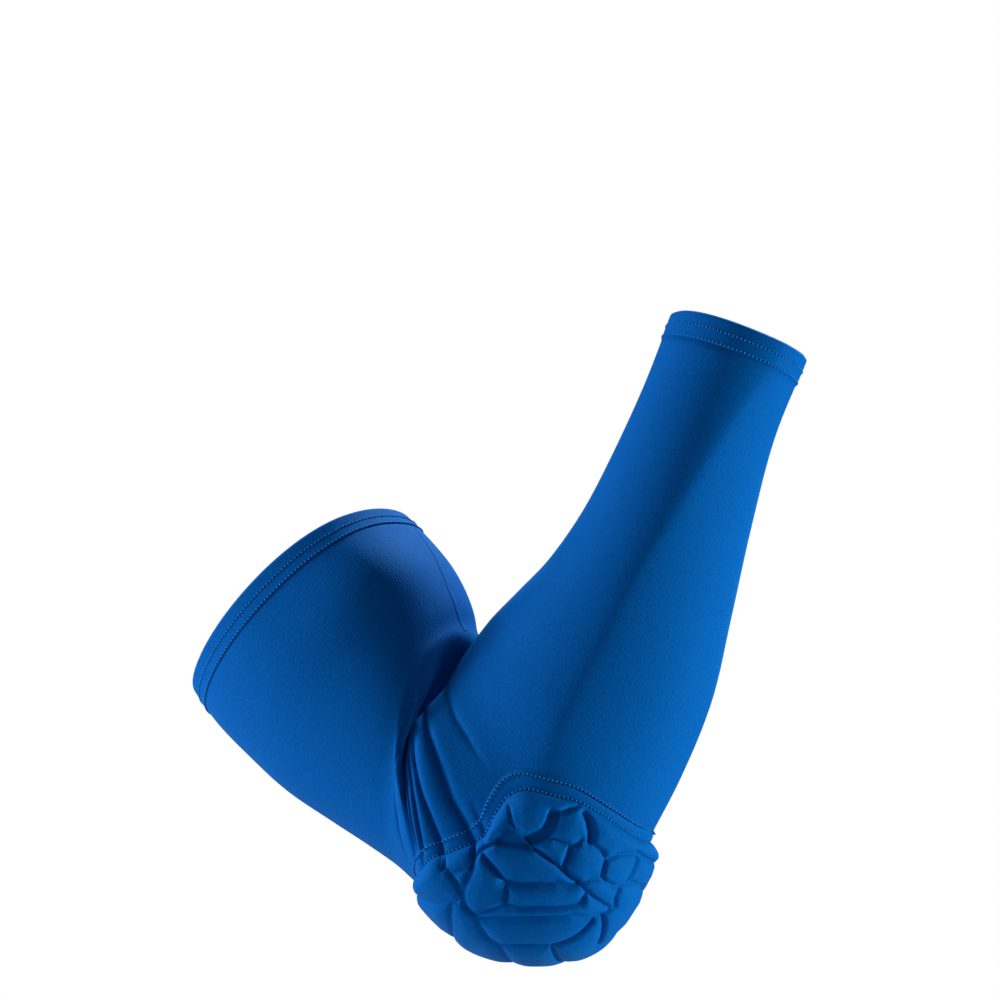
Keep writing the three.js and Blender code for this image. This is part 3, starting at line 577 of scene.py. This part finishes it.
def foam_pad():
    """The pad: form + normal (pad height + gap + pleats) over its grid, closed underneath by rings drawn in
    to the centre."""
    pad_s, pad_a, share = pad_grid()
    base, up = form(pad_s, pad_a), normal(pad_s, pad_a)
    foam_points = (base + up * FOAM_TOP).reshape(-1, 3)
    height = pad_height(pad_s.ravel(), pad_a.ravel(), share.ravel(), foam_points).reshape(pad_s.shape)
    pleats = relief(pad_s, pad_a) * ease(PLEATS_FROM, PLEATS_TO, share)
    layers = [(base + up * (height + GAP + pleats)[..., None]).reshape(-1, 3)]
    weaves = [weave_of(pad_s, pad_a)]
    faces = [grid_faces(PAD_GRID, PAD_GRID)]
    rim = np.concatenate([
        np.arange(PAD_GRID),
        (np.arange(1, PAD_GRID) + 1) * PAD_GRID - 1,
        (PAD_GRID - 1) * PAD_GRID + np.arange(PAD_GRID - 2, -1, -1),
        np.arange(PAD_GRID - 2, 0, -1) * PAD_GRID,
    ])
    outer, start = rim, PAD_GRID**2
    for part in UNDER_RINGS:
        s, a = pad_place(pad_s.ravel()[rim], pad_a.ravel()[rim], part)
        pleats = relief(s, a) * ease(PLEATS_FROM, PLEATS_TO, part)
        layers.append(form(s, a) + normal(s, a) * (pleats - SINK)[:, None])
        weaves.append(weave_of(s, a))
        inner = start + np.arange(len(rim))
        faces.append(np.stack([inner, np.roll(inner, -1), np.roll(outer, -1), outer], -1))
        outer = inner
        start += len(rim)
    layers.append(form(*PAD_CENTRE)[None] - normal(*PAD_CENTRE)[None] * SINK)
    weaves.append(weave_of(*PAD_CENTRE))
    pairs = 2 * np.arange(len(rim) // 2)
    last = start - len(rim)
    centre = np.full(len(pairs), start)
    faces.append(np.stack([last + (pairs + 2) % len(rim), last + pairs + 1, last + pairs, centre], -1))
    weave = np.concatenate(weaves)
    return make_mesh("foam_pad", np.concatenate(layers), np.concatenate(faces), PAD_KNIT, weave=weave)


pad = foam_pad()
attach(pad, "root")
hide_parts("elbow_pad")

# Stitches: the points that measure a row's curve, the short step that gives its direction, and the rings and
# the fullness of a bar
CURVE_STEPS, CURVE_STEP, BAR_RINGS, BAR_POWER = 3000, 1e-3, 6, 0.7


def stitch_row(name, curve, start, size, material):
    """Rounded bars, x = -cos v length / 2 along the curve and radius sin(v)^BAR_POWER round it, one at each
    step of the pitch from start steps on; curve(t) gives points and normals for t from 0 to 1."""
    length, radius, rise = size
    t = np.linspace(0, 1, CURVE_STEPS)
    p, nrm = curve(t)
    run = np.concatenate([[0], np.cumsum(np.linalg.norm(np.diff(p, axis=0), axis=1))])
    count = int(run[-1] / STITCH_PITCH)
    mids = (np.arange(count) + start) * run[-1] / count
    at = np.interp(mids, run, t)
    centre, up = curve(at)
    ahead, _ = curve(np.minimum(at + CURVE_STEP, 1))
    behind, _ = curve(np.maximum(at - CURVE_STEP, 0))
    along = ahead - behind
    along /= np.linalg.norm(along, axis=1, keepdims=True)
    across = np.cross(up, along)
    across /= np.linalg.norm(across, axis=1, keepdims=True)
    v = np.linspace(0, math.pi, BAR_RINGS)
    w = np.arange(BAR_RINGS) * math.pi / (BAR_RINGS / 2)
    x = -np.cos(v)[:, None] * length / 2 * np.ones_like(w)
    y = np.sin(v)[:, None] ** BAR_POWER * np.cos(w) * radius
    z = np.sin(v)[:, None] ** BAR_POWER * np.sin(w) * radius + rise
    local = np.stack([x, y, z], -1).reshape(-1, 3)
    pts = (
        centre[:, None]
        + local[None, :, :1] * along[:, None]
        + local[None, :, 1:2] * across[:, None]
        + local[None, :, 2:] * up[:, None]
    )
    one = grid_faces(BAR_RINGS, BAR_RINGS, 0, True)
    every = (one[None] + (np.arange(count) * BAR_RINGS**2)[:, None, None]).reshape(-1, 4)
    row = make_mesh(name, pts.reshape(-1, 3), every, material)
    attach(row, "root")
    return row


def ring_curve(along, lift):
    """A row round the sleeve: the cloth at one place, angle 360 t."""
    def curve(t):
        a = t * 360
        s = np.full_like(a, along)
        return cloth(s, a, lift), normal(s, a)
    return curve


def pad_curve(share, lift):
    """A row round the pad: the cloth at a share of the way out to the pad's edge."""
    def curve(t):
        s, a = pad_place(*pad_edge(t), share)
        return cloth(s, a, lift), normal(s, a)
    return curve


ROWS = [
    ("wrist_outer", ring_curve(0.98, HEM_STEP)),
    ("wrist_inner", ring_curve(0.963, HEM_STEP)),
    ("upper_outer", ring_curve(-0.945, HEM_STEP)),
    ("upper_inner", ring_curve(-0.905, HEM_STEP)),
    ("pad_outer", pad_curve(0.972, FLANGE + GAP)),
    ("pad_inner", pad_curve(0.912, FLANGE + GAP)),
]
for row_name, curve in ROWS:
    stitch_row(row_name + "_stitches", curve, 0.5, STITCH, THREAD)
    # between the stitches, dark bars of painted shade where the needle holes lie in deep shade
    stitch_row(row_name + "_painted_hole_shade", curve, 0.0, HOLE, HOLE_SHADE_PAINT)


def seam_band():
    """The flat seam: SEAM_RISE sqrt(1 - v squared) over the cloth on its path, v from -1 to 1 across it."""
    t = np.linspace(0, 1, SEAM_ROWS)
    v = np.linspace(-1, 1, SEAM_COLUMNS)
    places, angles = np.array(SEAM_PATH, float).T
    s = places[0] + (places[-1] - places[0]) * t
    a = np.interp(s, places, angles)
    mm_per_degree = np.linalg.norm(form(s, a + 1) - form(s, a - 1), axis=-1) / 2
    around = a[:, None] + v * SEAM_HALF_WIDTH / mm_per_degree[:, None]
    s, around = np.broadcast_arrays(s[:, None], around)
    upper = cloth(s, around, SEAM_LIFT + SEAM_RISE * np.sqrt(1 - v**2))
    lower = cloth(s, around, -SINK)
    rows, columns = upper.shape[:2]
    ring = np.concatenate([upper, lower[:, ::-1]], axis=1)
    faces = grid_faces(rows, 2 * columns, 0, True, True)
    band = make_mesh("inner_arm_seam", ring.reshape(-1, 3), faces, KNIT)
    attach(band, "root")
    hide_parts("arm_seam")
    return band


seam = seam_band()

# Camera, fitted to the photo's view: its right, up and back axes in the frame, the frame's origin seen from
# it in mm, and its focal length over the picture's width
CAM_AXES = ((0.8761, 0.2779, 0.3940), (-0.3452, -0.2090, 0.9150), (0.3366, -0.9376, -0.0872))
CAM_SHIFT = (7.14, -144.9, -1600.0)
SENSOR, FOCAL_SHARE = 36.0, 3.8095


def placed(axes, place):
    """A pose matrix from three axes as columns and a place in metres."""
    pose = np.eye(4)
    pose[:3, :3] = axes
    pose[:3, 3] = place
    return Matrix(pose.tolist())


square, signs = np.linalg.qr(np.array(CAM_AXES).T)
turned = square * np.sign(np.diag(signs))
camera_data = bpy.data.cameras.new("photo_camera")
camera_data.sensor_width = SENSOR
camera_data.lens = SENSOR * FOCAL_SHARE
camera_data.clip_start, camera_data.clip_end = 0.05, 20.0
camera = bpy.data.objects.new("photo_camera", camera_data)
bpy.context.collection.objects.link(camera)
camera.matrix_world = placed(turned, -(turned @ np.array(CAM_SHIFT)) * MM)
bpy.context.scene.camera = camera
bpy.context.scene.view_settings.view_transform = "Standard"

# Lights, placed by the camera's own directions round the middle of the sleeve
LAMP_TARGET = np.array([-0.04, 0.0, 0.08])
ROOM_LIGHT = 0.11


def area_light(name, direction, distance, size, strength, colour):
    """A round lamp that faces the target, power = strength (pi distance) squared."""
    z = turned @ np.array(direction, float)
    z /= np.linalg.norm(z)
    x = np.cross([0.0, 0.3, 1.0], z)
    x /= np.linalg.norm(x)
    data = bpy.data.lights.new(name, "AREA")
    data.shape = "DISK"
    data.size = size
    data.energy = strength * (math.pi * distance) ** 2
    data.color = colour
    light = bpy.data.objects.new(name, data)
    bpy.context.collection.objects.link(light)
    light.matrix_world = placed(np.stack([x, np.cross(z, x), z], -1), LAMP_TARGET + z * distance)
    return light


# direction in the camera's axes (right, up, towards the camera), distance and size in m, strength and colour:
# 1 lights a surface that faces the lamp as a white room would
LAMPS = [
    ("left_softbox", (-0.97, 0.0, 0.0), 1.5, 0.4, 0.46, (1.0, 1.0, 1.0)),
    ("low_left_softbox", (-0.80, -0.48, 0.28), 0.8, 0.3, 0.10, (1.0, 1.0, 1.0)),
    ("upper_left_softbox", (-0.84, 0.50, -0.10), 1.5, 0.4, 0.60, (1.0, 1.0, 1.0)),
    ("front_left_softbox", (-0.90, 0.10, 0.30), 1.5, 0.4, 0.14, (1.0, 1.0, 1.0)),
    ("right_softbox", (0.95, -0.10, 0.18), 1.5, 0.22, 1.30, (0.93, 1.0, 0.90)),
    ("back_softbox", (0.40, 0.76, -0.54), 1.5, 0.4, 1.90, (0.70, 1.0, 1.0)),
]
for lamp in LAMPS:
    area_light(*lamp)

# A white room: it fills the view behind the object and adds a weak even light
world = bpy.data.worlds.new("white_room")
bpy.context.scene.world = world
world.use_nodes = True
room = world.node_tree
room.nodes.clear()
seen = node(room, "ShaderNodeLightPath")
camera_ray = [("Value", seen.outputs["Is Camera Ray"])]
brightness = node(room, "ShaderNodeMapRange", camera_ray, To_Min=ROOM_LIGHT, To_Max=1.0)
walls = node(room, "ShaderNodeBackground", [("Strength", brightness.outputs["Result"])])
walls.inputs["Color"].default_value = linear("#ffffff")
node(room, "ShaderNodeOutputWorld", [("Surface", walls.outputs["Background"])])

# The pale floor, well under the elbow pad
t = np.arange(FLOOR_POINTS) * 2 * math.pi / FLOOR_POINTS
height = np.full_like(t, FLOOR_HEIGHT)
floor_points = np.stack([np.cos(t) * FLOOR_RADIUS, np.sin(t) * FLOOR_RADIUS, height], -1)
floor = make_mesh("pale_floor", floor_points, np.arange(FLOOR_POINTS)[None], pale_paint(), smooth=False)
